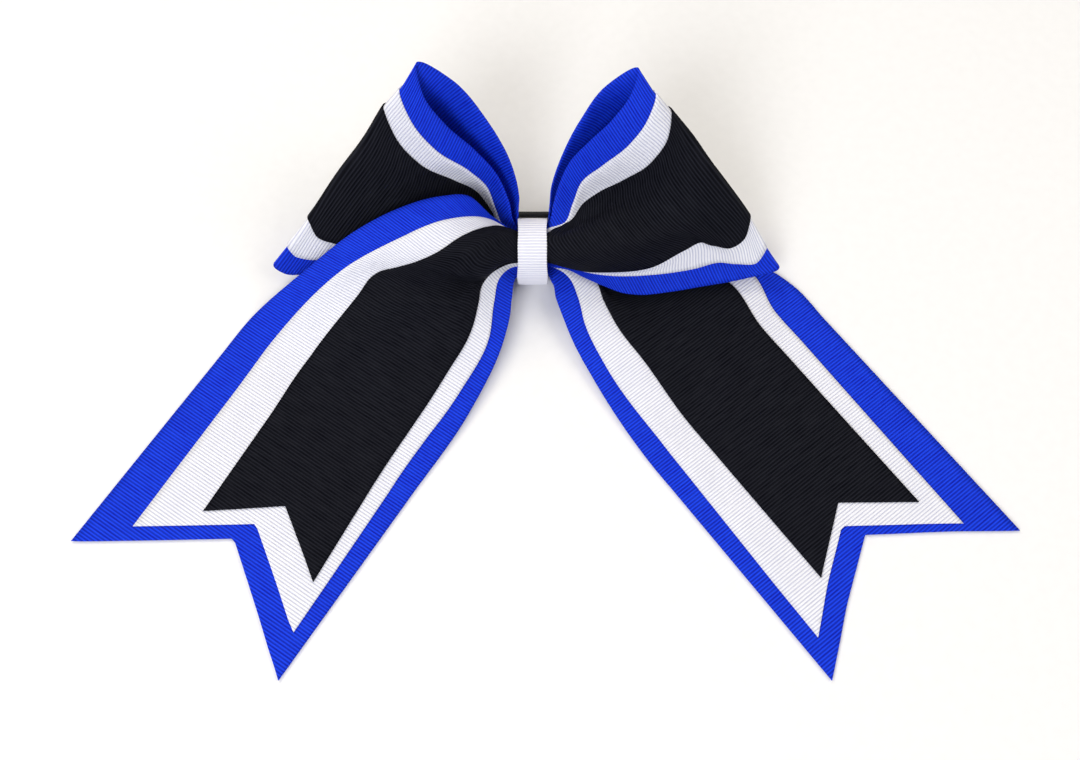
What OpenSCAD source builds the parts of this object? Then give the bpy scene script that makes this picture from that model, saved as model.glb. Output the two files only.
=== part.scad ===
// Cheer hair bow in three layers of grosgrain ribbon, lying on its back. Millimetres.
// +X runs along the bow, +Y points to the tops of the loops and +Z out of its front.
// The origin lies on the flat back of the centre wrap.

/* [Ribbons] */
// Width of the blue base ribbon
blue_w = 76.2; // [74:0.1:76.4]
// Width of the white middle ribbon
white_w = 57.15; // [54:0.05:58]
// Width of the black top ribbon
black_w = 38.1; // [34:0.1:40]
// Thickness of one ribbon
ribbon_t = 0.45; // [0.3:0.05:0.5]
// Gap between ribbons that lie on one another
layer_gap = 0.05; // [0.03:0.01:0.1]

/* [Tails] */
// Length of the left tail along its middle, from the knot to the tips
left_tail_len = 158; // [145:1:170]
// Length of the right tail along its middle, from the knot to the tips
right_tail_len = 162; // [150:1:175]
// Direction of the flat part of the left tail, in degrees from +X
left_tail_dir = 236.5; // [230:0.5:242]
// Direction of the flat part of the right tail, in degrees from +X
right_tail_dir = -52.3; // [-58:0.1:-46]
// Height of the flat part of the tails over the table
tail_lie = 0.3; // [0.1:0.1:0.6]
// Depth of the notch in the blue tails
blue_notch = 26; // [20:1:32]
// Depth of the notch in the white tails
white_notch = 20.5; // [16:0.5:24]
// Depth of the notch in the black tails
black_notch = 14; // [10:0.5:18]

/* [Knot] */
// Width of the centre wrap along the bow
wrap_w = 9.5; // [9:0.1:10]
// Length of the knot under the wrap, along Y
wrap_h = 19.8; // [19.6:0.1:20.4]
// Depth of the knot under the wrap, along Z
wrap_d = 21.5; // [21.3:0.1:22.5]
// Thickness of the wrap
wrap_t = 0.7; // [0.5:0.05:0.75]
// Radius of the cinch thread
thread_r = 0.25; // [0.15:0.05:0.3]

/* [Hair elastic] */
// Radius of the elastic cord
cord_r = 1; // [0.8:0.05:1]
// Length of the elastic ring between the centres of its ends' cords
elastic_len = 46; // [42:1:48]
// Distance between the two strands of the ring
elastic_gap = 17; // [16.5:0.1:17.5]

/* [Hidden] */
$fn = 64;

BLUE = 0;
WHITE = 1;
BLACK = 2;
COLOURS = ["royalblue", "white", "#17181c"];
edge_v = [blue_w, white_w, black_w] / 2;
layer_step = ribbon_t + layer_gap;
notch = [blue_notch, white_notch, black_notch];

// A ribbon's surface runs through rails. A rail is a curve along the ribbon at one place
// across it, and rail_v lists those places from the top edge to the bottom edge.
rail_v = [38.1, 22, 9, -7, -22, -38.1];

// Each rail of a loop goes out along the front, round the turn and home along the back.
loop_stations = [0, 0.11, 0.24, 0.38, 0.5, 0.62, 0.76, 0.89, 1];
right_loop_rails = [
    [[7, 9, 18], [8, 15, 25], [14, 22, 36], [23.5, 26.3, 47], [30, 35.5, 58],
     [20.5, 33.5, 51], [11.5, 26, 37], [7, 18.5, 20], [7.5, 12, 10]],
    [[7.5, 4, 18], [11, 9, 18], [20, 17, 25], [32.5, 21.5, 38], [38.5, 29, 49],
     [29, 32.5, 40], [17, 27.5, 27], [9, 18.5, 15], [7.5, 11, 10]],
    [[7.5, 2, 18.5], [13, 6, 17], [24, 12.5, 19], [37, 17, 29.5], [46.5, 24, 39.5],
     [36.5, 29.5, 30.5], [22.5, 25.5, 20], [11, 17, 12], [7.5, 10, 9.5]],
    [[7.5, -1.5, 20.5], [15, -2, 22], [27, 2, 22], [42.5, 8, 24], [57.5, 15.5, 27.5],
     [47, 22, 20], [30, 21, 13.5], [13, 14, 10], [7.5, 8, 9.5]],
    [[7.5, -5, 17], [16, -6, 16], [30, -5, 12.5], [49, 1, 14], [67, 7.5, 16.5],
     [56, 14, 11.5], [36, 15, 9], [15, 11, 9], [7.5, 6, 9.5]],
    [[7.5, -6, 12.5], [16, -9, 9.5], [33, -9, 6.5], [55, -8, 5.5], [77, -2, 7],
     [62, 7, 6], [40, 9, 6.5], [17, 8, 8], [7.5, 4, 9]]];
left_loop_rails = [
    [[-7, 10, 15], [-8, 16, 23], [-14, 22.5, 34], [-25, 27, 46], [-32.5, 37.5, 58],
     [-22.5, 35.5, 51], [-12.5, 28, 39], [-7, 19.5, 22], [-7.5, 12, 10]],
    [[-7.5, 8, 10], [-12, 13, 13], [-22, 20, 23], [-34, 22.5, 37], [-41.5, 31.5, 49],
     [-31, 33.5, 42], [-18.5, 27.5, 29], [-9, 19, 15], [-7.5, 11, 9]],
    [[-7.5, 6, 8], [-14, 11, 9], [-26, 16, 16], [-38, 18.5, 28], [-49.5, 26, 39],
     [-38, 30, 31], [-23, 26, 20], [-11, 18, 10], [-7.5, 9.5, 7.5]],
    [[-7.5, 3.5, 7], [-16, 8, 7], [-30, 11, 11], [-46, 12, 20], [-59.5, 17.5, 27],
     [-47, 23, 20], [-29, 21, 12.5], [-13, 15, 7.5], [-7.5, 8, 6.5]],
    [[-7.5, 1, 6.5], [-17, 6, 6], [-33, 7, 7], [-52, 4.5, 10], [-69.5, 7, 15.5],
     [-58, 14, 10], [-36, 15, 8], [-15, 12, 6], [-7.5, 6, 5]],
    [[-7.5, -2, 6.5], [-17, 2, 5], [-35, 1, 4], [-57, -2, 4], [-80.5, -2.8, 6],
     [-64, 7, 5], [-40, 9, 5], [-17, 9, 4.5], [-7.5, 4, 4.2]]];

// The rails of a tail start at the knot, and its flat part takes over at the last station.
left_tail_stations = [0, 0.06, 0.16, 0.31, 0.525];
left_tail_rails = [
    [[-7.5, 5, 17], [-12, 9, 19.5], [-27, 12, 27], [-52, 7, 22]],
    [[-7.5, 3, 19.5], [-12, 3, 21.5], [-26, 1, 26], [-46, -8, 18]],
    [[-7.5, 0, 21], [-12, -1, 23], [-27, -6, 24], [-42, -15, 15]],
    [[-7.5, -5, 17], [-14, -7, 14], [-27, -9, 12], [-38, -18, 9]],
    [[-7.5, -6.5, 13], [-11, -9, 12], [-16, -17, 9], [-24, -32, 5]],
    [[-7, -9, 8], [-8, -16, 7], [-10, -28, 4], [-19, -48, 1.5]]];
right_tail_stations = [0, 0.07, 0.18, 0.34, 0.5];
right_tail_rails = [
    [[7.5, 4, 5], [16, 6, 3.8], [36, 7, 2], [63, 4, 0.8]],
    [[7.5, 2, 5.5], [16, 2, 4], [33, -2, 2], [57, -10, 0.8]],
    [[7.5, 0, 6], [15, -3, 4.5], [30, -10, 2], [50, -22, 0.8]],
    [[7.5, -3, 6.5], [13, -6, 5.5], [26, -15, 3.5], [43, -33, 1.2]],
    [[7.5, -6, 7], [11, -10, 6.5], [20, -21, 4.5], [35, -42, 1.4]],
    [[7, -9, 6.5], [9, -15, 6], [13, -28, 4], [25, -49, 1.5]]];

// A tail is [stations, rails, tip middle, direction, side, length, length gained per mm across,
// shift of the white and black ribbons at the knot and at the tips, how far each cut is set back].
left_tail = [left_tail_stations, left_tail_rails, [-103, -108], left_tail_dir, 1,
             left_tail_len, 0.5, [[0, -1.5, -3], [0, -4, -9]], [0, 14, 29.5]];
right_tail = [right_tail_stations, right_tail_rails, [114, -105], right_tail_dir, -1,
              right_tail_len, 0.4, [[0, -2, -0.8], [0, -4.3, -1]], [0, 11.5, 23.5]];

loop_rows = 30;
tail_bend_rows = 12;
tail_flat_rows = 7;
// Grid columns between one ribbon edge and the next, the same for all three layers
columns = [2, 2, 5, 5, 2, 2];
column_count = 18;
layer_inset = [0, columns[0], columns[0] + columns[1]];

wrap_mid_y = 1.7;
wrap_front_r = 8.5;
wrap_back_r = 6;
strand_y = 2.1;
strand_z = 2.1;
free_strand_z = 1.6;
elastic_tilt = -atan((strand_z - free_strand_z) / elastic_gap);
tunnel_r = cord_r + 0.08;
sleeve_r = cord_r + 0.5;
sleeve_len = 5;
sleeve_play = 0.08;
sleeve_x = 11.5;
glue_len = 8.4;
glue_w = 7;
glue_top = 3.9;
thread_margin = 1.2;
thread_bend_r = 5.5;
thread_turns = 3;
thread_pitch = 2.4;
pleat_half_pitch = 1.1;
gather_len = 8.4;

// --- Curves through rails ---

// Slope of the curve through points p at stations t, at point i
function slope_at(p, t, i) =
    let (last = len(p) - 1)
    i == 0 ? (p[1] - p[0]) / (t[1] - t[0])
    : i == last ? (p[last] - p[last - 1]) / (t[last] - t[last - 1])
    : let (h0 = t[i] - t[i - 1], h1 = t[i + 1] - t[i])
      ((p[i] - p[i - 1]) / h0 * h1 + (p[i + 1] - p[i]) / h1 * h0) / (h0 + h1);

// The span of stations t that holds x
function span_of(t, x, i = 0) = i < len(t) - 2 && x > t[i + 1] ? span_of(t, x, i + 1) : i;

// Point at x on the smooth curve through points p at stations t
function curve_at(p, t, x) =
    let (i = span_of(t, x), h = t[i + 1] - t[i], s = (x - t[i]) / h)
    (2 * s^3 - 3 * s^2 + 1) * p[i] + (s^3 - 2 * s^2 + s) * h * slope_at(p, t, i)
    + (3 * s^2 - 2 * s^3) * p[i + 1] + (s^3 - s^2) * h * slope_at(p, t, i + 1);

function reversed(list) = [for (i = [len(list) - 1 : -1 : 0]) list[i]];

// Point at v across a ribbon whose rails cross one row at the points p
function across(p, v) = curve_at(reversed(p), reversed(rail_v), v);

// --- Grids of a ribbon's surface ---

// Places across the ribbon of all grid columns, where shift moves the white and black edges
function column_places(shift) =
    let (stops = [-edge_v[BLUE], shift[1] - edge_v[WHITE], shift[2] - edge_v[BLACK], shift[2],
                  shift[2] + edge_v[BLACK], shift[1] + edge_v[WHITE], edge_v[BLUE]])
    concat([stops[0]], [for (i = [0 : 5]) for (j = [1 : columns[i]])
                        stops[i] + (stops[i + 1] - stops[i]) * j / columns[i]]);

function loop_grid(rails) =
    let (places = column_places([0, 0, 0]))
    [for (i = [0 : loop_rows])
        let (row = [for (rail = rails) curve_at(rail, loop_stations, i / loop_rows)])
        [for (v = places) across(row, v)]];

// Point of a tail's flat part at v across it, where t is 0 at the knot and 1 at the tips
function flat_point(tail, v, t) =
    let (dir = [cos(tail[3]), sin(tail[3]), 0], side = [dir[1], -dir[0], 0] * tail[4],
         to_tip = (tail[5] + tail[6] * v) * (1 - t))
    [tail[2][0], tail[2][1], tail_lie] + side * v - dir * to_tip;

function tail_point(tail, v, t) =
    let (t_flat = tail[0][4], settle = 0.15)
    t >= t_flat ? flat_point(tail, v, t)
    : across([for (k = [0 : 5])
                curve_at(concat(tail[1][k], [flat_point(tail, rail_v[k], t_flat),
                                             flat_point(tail, rail_v[k], t_flat + settle)]),
                         concat(tail[0], [t_flat + settle]), t)], v);

// Grid of one layer of a tail. The rows past the flat part's start spread out to the cut.
function tail_grid(tail, layer) =
    let (t_flat = tail[0][4], rows = tail_bend_rows + tail_flat_rows,
         first = layer_inset[layer], last = column_count - first)
    [for (i = [0 : rows])
        let (run = i / rows, places = column_places(tail[7][0] * (1 - run) + tail[7][1] * run),
             middle = (places[first] + places[last]) / 2, half = (places[last] - places[first]) / 2)
        [for (v = places)
            let (cut = tail[8][layer] + notch[layer] * max(0, 1 - abs(v - middle) / half),
                 t_cut = 1 - cut / (tail[5] + tail[6] * v),
                 t = i <= tail_bend_rows ? t_flat * i / tail_bend_rows
                     : t_flat + (t_cut - t_flat) * (i - tail_bend_rows) / tail_flat_rows)
            tail_point(tail, v, t)]];

// Unit normal of a grid at row i and column j
function normal_at(g, i, j) =
    let (rows = len(g) - 1, cols = len(g[0]) - 1,
         along = g[min(i + 1, rows)][j] - g[max(i - 1, 0)][j],
         over = g[i][min(j + 1, cols)] - g[i][max(j - 1, 0)], n = cross(along, over))
    n / norm(n);

// Closed sheet of one layer, on the side of the grid that the sign of face gives
module ribbon_sheet(grid, layer, face) {
    first = layer_inset[layer];
    last = column_count - first;
    rows = len(grid);
    cols = last - first + 1;
    low = layer * layer_step;
    points = [for (h = [low, low + ribbon_t]) for (i = [0 : rows - 1]) for (j = [first : last])
              grid[i][j] + face * h * normal_at(grid, i, j)];
    size = rows * cols;
    rim = concat([for (j = [0 : cols - 1]) j],
                 [for (i = [1 : rows - 1]) i * cols + cols - 1],
                 [for (j = [cols - 2 : -1 : 0]) (rows - 1) * cols + j],
                 [for (i = [rows - 2 : -1 : 1]) i * cols]);
    faces = concat(
        [for (i = [0 : rows - 2]) for (j = [0 : cols - 2]) for (half = [0, 1])
            let (a = i * cols + j, b = a + 1, c = a + cols + 1, d = a + cols)
            half == 0 ? [a, b, c] : [a, c, d]],
        [for (i = [0 : rows - 2]) for (j = [0 : cols - 2]) for (half = [0, 1])
            let (a = size + i * cols + j, b = a + 1, c = a + cols + 1, d = a + cols)
            half == 0 ? [a, c, b] : [a, d, c]],
        [for (k = [0 : len(rim) - 1]) for (half = [0, 1])
            let (a = rim[k], b = rim[(k + 1) % len(rim)])
            half == 0 ? [a, a + size, b + size] : [a, b + size, b]]);
    color(COLOURS[layer])
        polyhedron(points = points, faces = face > 0 ? faces : [for (f = faces) reversed(f)]);
}

module loop_sheet(rails, layer, face) {
    ribbon_sheet(loop_grid(rails), layer, face);
}

module tail_sheet(tail, layer, face) {
    ribbon_sheet(tail_grid(tail, layer), layer, face);
}

// --- Knot ---

// Lays a drawing in the YZ plane and gives it a length along X, centred on X = 0
module along_x(length) {
    rotate([90, 0, 90])
        translate([0, 0, -length / 2])
            linear_extrude(length)
                children();
}

// Rounded outline of the knot, with its edge moved in by inset
module knot_outline(inset) {
    half = wrap_h / 2 - inset;
    front = wrap_front_r - inset;
    back = wrap_back_r - inset;
    translate([wrap_mid_y, 0]) {
        translate([-half + front, inset])
            square([2 * (half - front), wrap_d - 2 * inset]);
        translate([-half, wrap_back_r])
            square([2 * half, wrap_d - wrap_back_r - wrap_front_r]);
        translate([-half + back, inset])
            square([2 * (half - back), wrap_d / 2]);
        for (side = [-1, 1]) {
            translate([side * (half - front), wrap_d - wrap_front_r])
                circle(front);
            translate([side * (half - back), wrap_back_r])
                circle(back);
        }
    }
}

// Pleated band of one ribbon, where the pleats fold folds to each side of y
module pleated_band(y, z, rise, folds, thick) {
    ridge = [for (k = [-folds : folds]) [y + k * pleat_half_pitch, z + (k % 2 == 0 ? rise : 0)]];
    polygon(concat([for (p = ridge) p + [0, thick]], reversed(ridge)));
}

// The three crossings of one layer: left tail to right loop in front, loop to loop behind it,
// and left loop to right tail at the back
module gather(layer) {
    folds = 4 - layer;
    color(COLOURS[layer])
        along_x(gather_len) {
            pleated_band(wrap_mid_y, 12.7 + 1.25 * layer, 2.8, folds, 1.1);
            pleated_band(4.8, 8.6 + 0.75 * (BLACK - layer), 1.3, folds, 0.65);
            pleated_band(1.5, 4.9 + 0.75 * layer, 1.3, folds - 1, 0.65);
        }
}

// Round cord bent into a rounded rectangle in the XY plane, centred on the origin
module cord_ring(length, width, bend_r, r) {
    for (side = [-1, 1])
        translate([-(length / 2 - bend_r), side * width / 2, 0])
            rotate([0, 90, 0])
                cylinder(h = length - 2 * bend_r, r = r);
    if (width > 2 * bend_r)
        for (side = [-1, 1])
            translate([side * length / 2, -(width / 2 - bend_r), 0])
                rotate([-90, 0, 0])
                    cylinder(h = width - 2 * bend_r, r = r);
    for (quarter = [0 : 3])
        let (turn = 45 + 90 * quarter)
        translate([sign(cos(turn)) * (length / 2 - bend_r), sign(sin(turn)) * (width / 2 - bend_r), 0])
            rotate([0, 0, 90 * quarter])
                rotate_extrude(angle = 90)
                    translate([bend_r, 0])
                        circle(r);
}

module cinch_thread() {
    length = wrap_h - 2 * (wrap_t + thread_margin);
    low = glue_top + 0.15 + thread_r;
    high = wrap_d - wrap_t - thread_margin;
    color("ivory")
        for (turn = [0 : thread_turns - 1])
            translate([(turn - (thread_turns - 1) / 2) * thread_pitch, wrap_mid_y, (low + high) / 2])
                rotate([90, 0, 90])
                    cord_ring(length, high - low, thread_bend_r, thread_r);
}

module centre_wrap() {
    color("white")
        along_x(wrap_w)
            difference() {
                knot_outline(0);
                knot_outline(wrap_t);
            }
}

// Dab of glue behind the gathers, with the tunnel that holds one strand of the elastic
module hot_glue() {
    bottom = wrap_t + 0.05;
    color("wheat")
        difference() {
            translate([-glue_len / 2, strand_y - glue_w / 2, bottom])
                cube([glue_len, glue_w, glue_top - bottom]);
            translate([-glue_len, strand_y, strand_z])
                rotate([0, 90, 0])
                    cylinder(h = 2 * glue_len, r = tunnel_r);
        }
}

// Moves the elastic's drawing, with its held strand on the X axis, to its place at rest
module elastic_place() {
    translate([0, strand_y, strand_z])
        rotate([elastic_tilt, 0, 0])
            children();
}

module hair_elastic() {
    color("#101012")
        elastic_place()
            translate([0, elastic_gap / 2, 0])
                cord_ring(elastic_len, elastic_gap, elastic_gap / 2, cord_r);
}

// Bonded sleeve over the ends of the elastic cord
module elastic_sleeve() {
    color("#202024")
        elastic_place()
            translate([sleeve_x - sleeve_len / 2, elastic_gap, 0])
                rotate([0, 90, 0])
                    difference() {
                        cylinder(h = sleeve_len, r = sleeve_r);
                        translate([0, 0, -1])
                            cylinder(h = sleeve_len + 2, r = cord_r + sleeve_play);
                    }
}

tail_sheet(left_tail, BLUE, -1);  // blue_left_tail
tail_sheet(left_tail, WHITE, -1);  // white_left_tail
tail_sheet(left_tail, BLACK, -1);  // black_left_tail
tail_sheet(right_tail, BLUE, 1);  // blue_right_tail
tail_sheet(right_tail, WHITE, 1);  // white_right_tail
tail_sheet(right_tail, BLACK, 1);  // black_right_tail
loop_sheet(left_loop_rails, BLUE, -1);  // blue_left_loop
loop_sheet(left_loop_rails, WHITE, -1);  // white_left_loop
loop_sheet(left_loop_rails, BLACK, -1);  // black_left_loop
loop_sheet(right_loop_rails, BLUE, 1);  // blue_right_loop
loop_sheet(right_loop_rails, WHITE, 1);  // white_right_loop
loop_sheet(right_loop_rails, BLACK, 1);  // black_right_loop
gather(BLUE);  // blue_gather
gather(WHITE);  // white_gather
gather(BLACK);  // black_gather
cinch_thread();
centre_wrap();
hot_glue();
hair_elastic();
elastic_sleeve();
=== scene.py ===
"""Cheer hair bow in three layers of grosgrain ribbon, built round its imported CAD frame.

The ribbons are drawn here in millimetres, as the CAD source draws them, and turned into metres
when their meshes are made. u runs along a ribbon and v across it, from its bottom edge (-38.1)
to its top edge (+38.1).
"""
import math

import bmesh
import bpy
import mathutils
import numpy as np
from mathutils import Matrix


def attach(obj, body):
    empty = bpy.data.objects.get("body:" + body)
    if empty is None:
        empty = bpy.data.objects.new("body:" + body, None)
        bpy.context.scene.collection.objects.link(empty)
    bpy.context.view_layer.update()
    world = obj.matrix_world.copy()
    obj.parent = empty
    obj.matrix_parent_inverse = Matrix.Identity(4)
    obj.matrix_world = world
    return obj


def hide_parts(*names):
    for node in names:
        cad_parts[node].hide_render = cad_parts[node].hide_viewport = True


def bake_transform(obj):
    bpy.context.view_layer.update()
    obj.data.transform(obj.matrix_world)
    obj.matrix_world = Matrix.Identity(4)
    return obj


MM = 0.001

LAYERS = BLUE, WHITE, BLACK = 0, 1, 2
LAYER_NAMES = ["blue", "white", "black"]
HALF_WIDTH = [38.1, 28.575, 19.05]
RIBBON_T = 0.45
LAYER_STEP = 0.5

# One rib of the grosgrain every RIB_PITCH along a ribbon
RIB_PITCH = 0.95
RIB_HEIGHT = 0.07
RIB_ROUNDNESS = 0.8
# The ribs fade to SELVEDGE_RIB of their height over SELVEDGE at a ribbon's woven edges
SELVEDGE = 0.8
SELVEDGE_RIB = 0.35
ROWS_PER_RIB = 5
ROW_STEP = RIB_PITCH / ROWS_PER_RIB

# The ribbons end inside the centre wrap, this far from the bow's middle
KNOT_HALF = 3.9

# --- Ribbons ---

# Each rail of a loop is (place across, front points from the knot to the turn, back points home).
RIGHT_LOOP = [
    (38.1, [[3, 8, 16], [5.3, 9.5, 18], [6.2, 12, 20.5], [8, 17, 24.5], [11, 21.5, 30],
            [16.5, 23.8, 38], [23.5, 26.3, 47], [28.7, 31, 54], [30, 35.5, 58]],
     [[21.5, 33.5, 52.5], [14.5, 28, 43.5], [9.5, 23.3, 32.5], [6.2, 18.3, 22], [4.8, 12.9, 13],
      [3, 10.5, 10]]),
    (28.6, [[3, 5.5, 17], [7, 6.3, 17.3], [9.5, 8, 17], [12, 13.5, 19.5], [14.7, 18, 25],
            [21, 20, 32], [28.5, 21.8, 41], [33.2, 25.5, 48], [35, 30.7, 52.5]],
     [[26.5, 33, 46.5], [17, 28.5, 34], [10, 22.5, 23], [7, 17, 16], [6, 12, 10.5], [3, 10, 9.8]]),
    (19, [[3, 1.6, 16.8], [5.2, 2.7, 17.5], [7.2, 4.4, 17.8], [10, 6.5, 16.8], [12.5, 9, 16],
          [15.5, 14, 17], [20.5, 17, 20.5], [27.5, 18.3, 26], [35, 19.5, 34], [39.5, 23.5, 42],
          [39.8, 28.8, 46]],
     [[31, 32, 38.5], [19.5, 27.5, 27], [11.5, 21, 17.5], [8.5, 16, 13], [7, 11.5, 10], [3, 9.7, 9.6]]),
    (9, [[3, 1.4, 18.7], [7.5, 2.4, 19.4], [12.5, 5, 17.5], [18, 9, 17], [25, 12.5, 19],
         [34, 15, 25.5], [42, 18.5, 34], [46.5, 23.8, 39.5]],
     [[36.5, 29.5, 30.5], [22.5, 25.5, 20], [12.5, 19, 13], [8.5, 14, 10.5], [7, 10.5, 9.7],
      [3, 8.7, 9.4]]),
    (0, [[3, 0, 19.2], [7.5, -0.3, 20.6], [14, 1.5, 21.5], [22, 4.5, 21.5], [32, 8, 22.5],
         [42, 12, 28], [52.3, 18.9, 33.5]],
     [[42, 25.5, 25], [26, 24, 16], [12.5, 16, 11], [7.5, 9.5, 9.6], [3, 7.6, 9.3]]),
    (-8, [[3, -2.6, 17.3], [7.5, -4.1, 19], [15, -3.8, 21], [26, -1.5, 21.5], [38, 2.5, 22],
          [48, 7.5, 24], [58, 14.8, 27.3]],
     [[47, 22, 20], [30, 21, 13.5], [13, 14.5, 10.3], [7.5, 8, 9.4], [3, 6.6, 9.1]]),
    (-19, [[3, -1.5, 13.8], [7.5, -3.2, 14], [16.5, -5.1, 13], [25, -5, 12], [36.5, -3.3, 11.5],
           [46.5, 1, 14.5], [52, 3, 16], [56, 2.2, 14.8], [60.5, 1.9, 13.2], [64.8, 4.5, 14],
           [65.9, 9.1, 18]],
     [[54.5, 15.5, 12.5], [35, 16, 9.8], [14.6, 11.7, 9.2], [7.5, 6.5, 9.3], [3, 5.5, 9]]),
    (-28.6, [[3, -1, 10.6], [7.5, -2, 10.8], [12, -3, 10.4], [16, -4.2, 10], [22, -5.3, 9.4],
              [36.5, -5.2, 8.5],
             [50, -3.4, 9], [58, -1.7, 10], [63, -1.8, 9], [70, -1, 8.5], [72, 1.5, 10.8]],
     [[59, 11, 8.5], [38, 12.8, 7.8], [16, 10, 8.5], [7.5, 5.5, 9.1], [3, 4.5, 9]]),
    (-38.1, [[3, -3.2, 10.5], [7.5, -4, 10.3], [10.5, -4.4, 10], [16, -6.7, 9], [22.5, -9.3, 8],
             [28, -11, 7], [33, -11.4, 6.5], [42, -10.3, 6], [53, -8, 5.5], [66.5, -5.4, 5.7],
             [76.8, -2.7, 6.7]],
     [[62, 7, 6], [40, 9, 6.5], [17, 8, 8], [7.5, 4.2, 8.8], [3, 3, 8.8]]),
]
LEFT_LOOP = [
    (38.1, [[-3, 8.5, 13], [-5.5, 9.5, 15], [-7, 13.5, 20], [-10.5, 19.5, 26], [-17, 23.5, 34],
            [-25.5, 26.5, 44], [-31.2, 31, 52], [-32.5, 37.5, 58]],
     [[-23.2, 35.8, 52], [-13.5, 28.7, 42], [-6.6, 20.9, 30], [-4.4, 15.4, 20], [-4.5, 12.5, 13],
      [-3, 10.5, 10]]),
    (28.6, [[-3, 8, 11], [-6.5, 8.5, 11.5], [-9, 10.5, 12], [-11, 14.5, 14.5], [-13.5, 19.2, 19.5],
            [-19, 21, 27], [-28.5, 22.3, 37], [-35, 26.5, 46], [-37.5, 32.3, 52.5]],
     [[-29, 34.5, 46], [-17.5, 28.5, 34], [-9, 22, 23], [-6.3, 16, 15.5], [-6, 12, 10.5],
      [-3, 10, 9.5]]),
    (19, [[-3, 7, 9], [-7, 8, 9.2], [-10, 10.8, 9.5], [-12.8, 15.3, 12], [-18, 20, 16.5],
          [-24, 20.8, 21.5], [-34, 21, 31.5], [-40.3, 25, 40], [-42.5, 30.4, 46]],
     [[-33, 33, 39], [-20.5, 27.5, 27], [-11, 21, 17.5], [-8, 15, 12], [-7, 11.5, 9.5], [-3, 9.5, 9]]),
    (9, [[-3, 5, 7.5], [-8, 6.5, 8], [-13, 10, 8.5], [-20, 14.5, 12.5], [-30, 16.5, 18.5],
         [-40, 18, 29], [-48.5, 25, 38.5]],
     [[-38, 30, 31], [-23, 26, 20], [-12, 19, 12], [-8, 13, 9], [-7, 10, 8], [-3, 8, 7.3]]),
    (-7, [[-3, 3, 7], [-8, 4, 7], [-16, 8, 7.3], [-30, 11, 12], [-45, 12, 20], [-59, 17.5, 27]],
     [[-47, 23, 20], [-29, 21, 12.5], [-13, 15, 8], [-7.5, 8, 6.7], [-3, 6.5, 6.2]]),
    (-19, [[-3, 1, 6.7], [-8, 2, 6.5], [-17, 6.5, 6.3], [-32, 8, 8], [-48, 5, 10], [-61, 3.8, 12.5],
           [-66.5, 5.3, 14.5], [-68, 8.3, 18]],
     [[-57, 14.5, 12], [-36, 16, 9], [-15, 13, 6.8], [-7.5, 6.5, 5.5], [-3, 5, 5.3]]),
    (-28.6, [[-3, -0.5, 6.5], [-8, 0.5, 6], [-18, 4, 5.5], [-34, 4.5, 6], [-50, 2, 7],
             [-63.5, 0.5, 8], [-71, 0.2, 8.7], [-74, 0.7, 9.8], [-75.2, 1.5, 11.5]],
     [[-62, 10, 8], [-38, 12.5, 6.8], [-16, 11, 5.5], [-7.5, 5.2, 5], [-3, 4, 4.8]]),
    (-38.1, [[-3, -2, 6.5], [-8, -1.5, 6], [-18, 1.5, 4.8], [-35, 1, 3.8], [-57, -2, 3.5],
             [-70, -2.8, 3.8], [-78, -3, 4.5], [-80.3, -2.2, 6]],
     [[-64, 7, 5], [-40, 9, 5], [-17, 9, 4.5], [-8, 4.5, 4.3], [-3, 3, 4.2]]),
]

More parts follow.
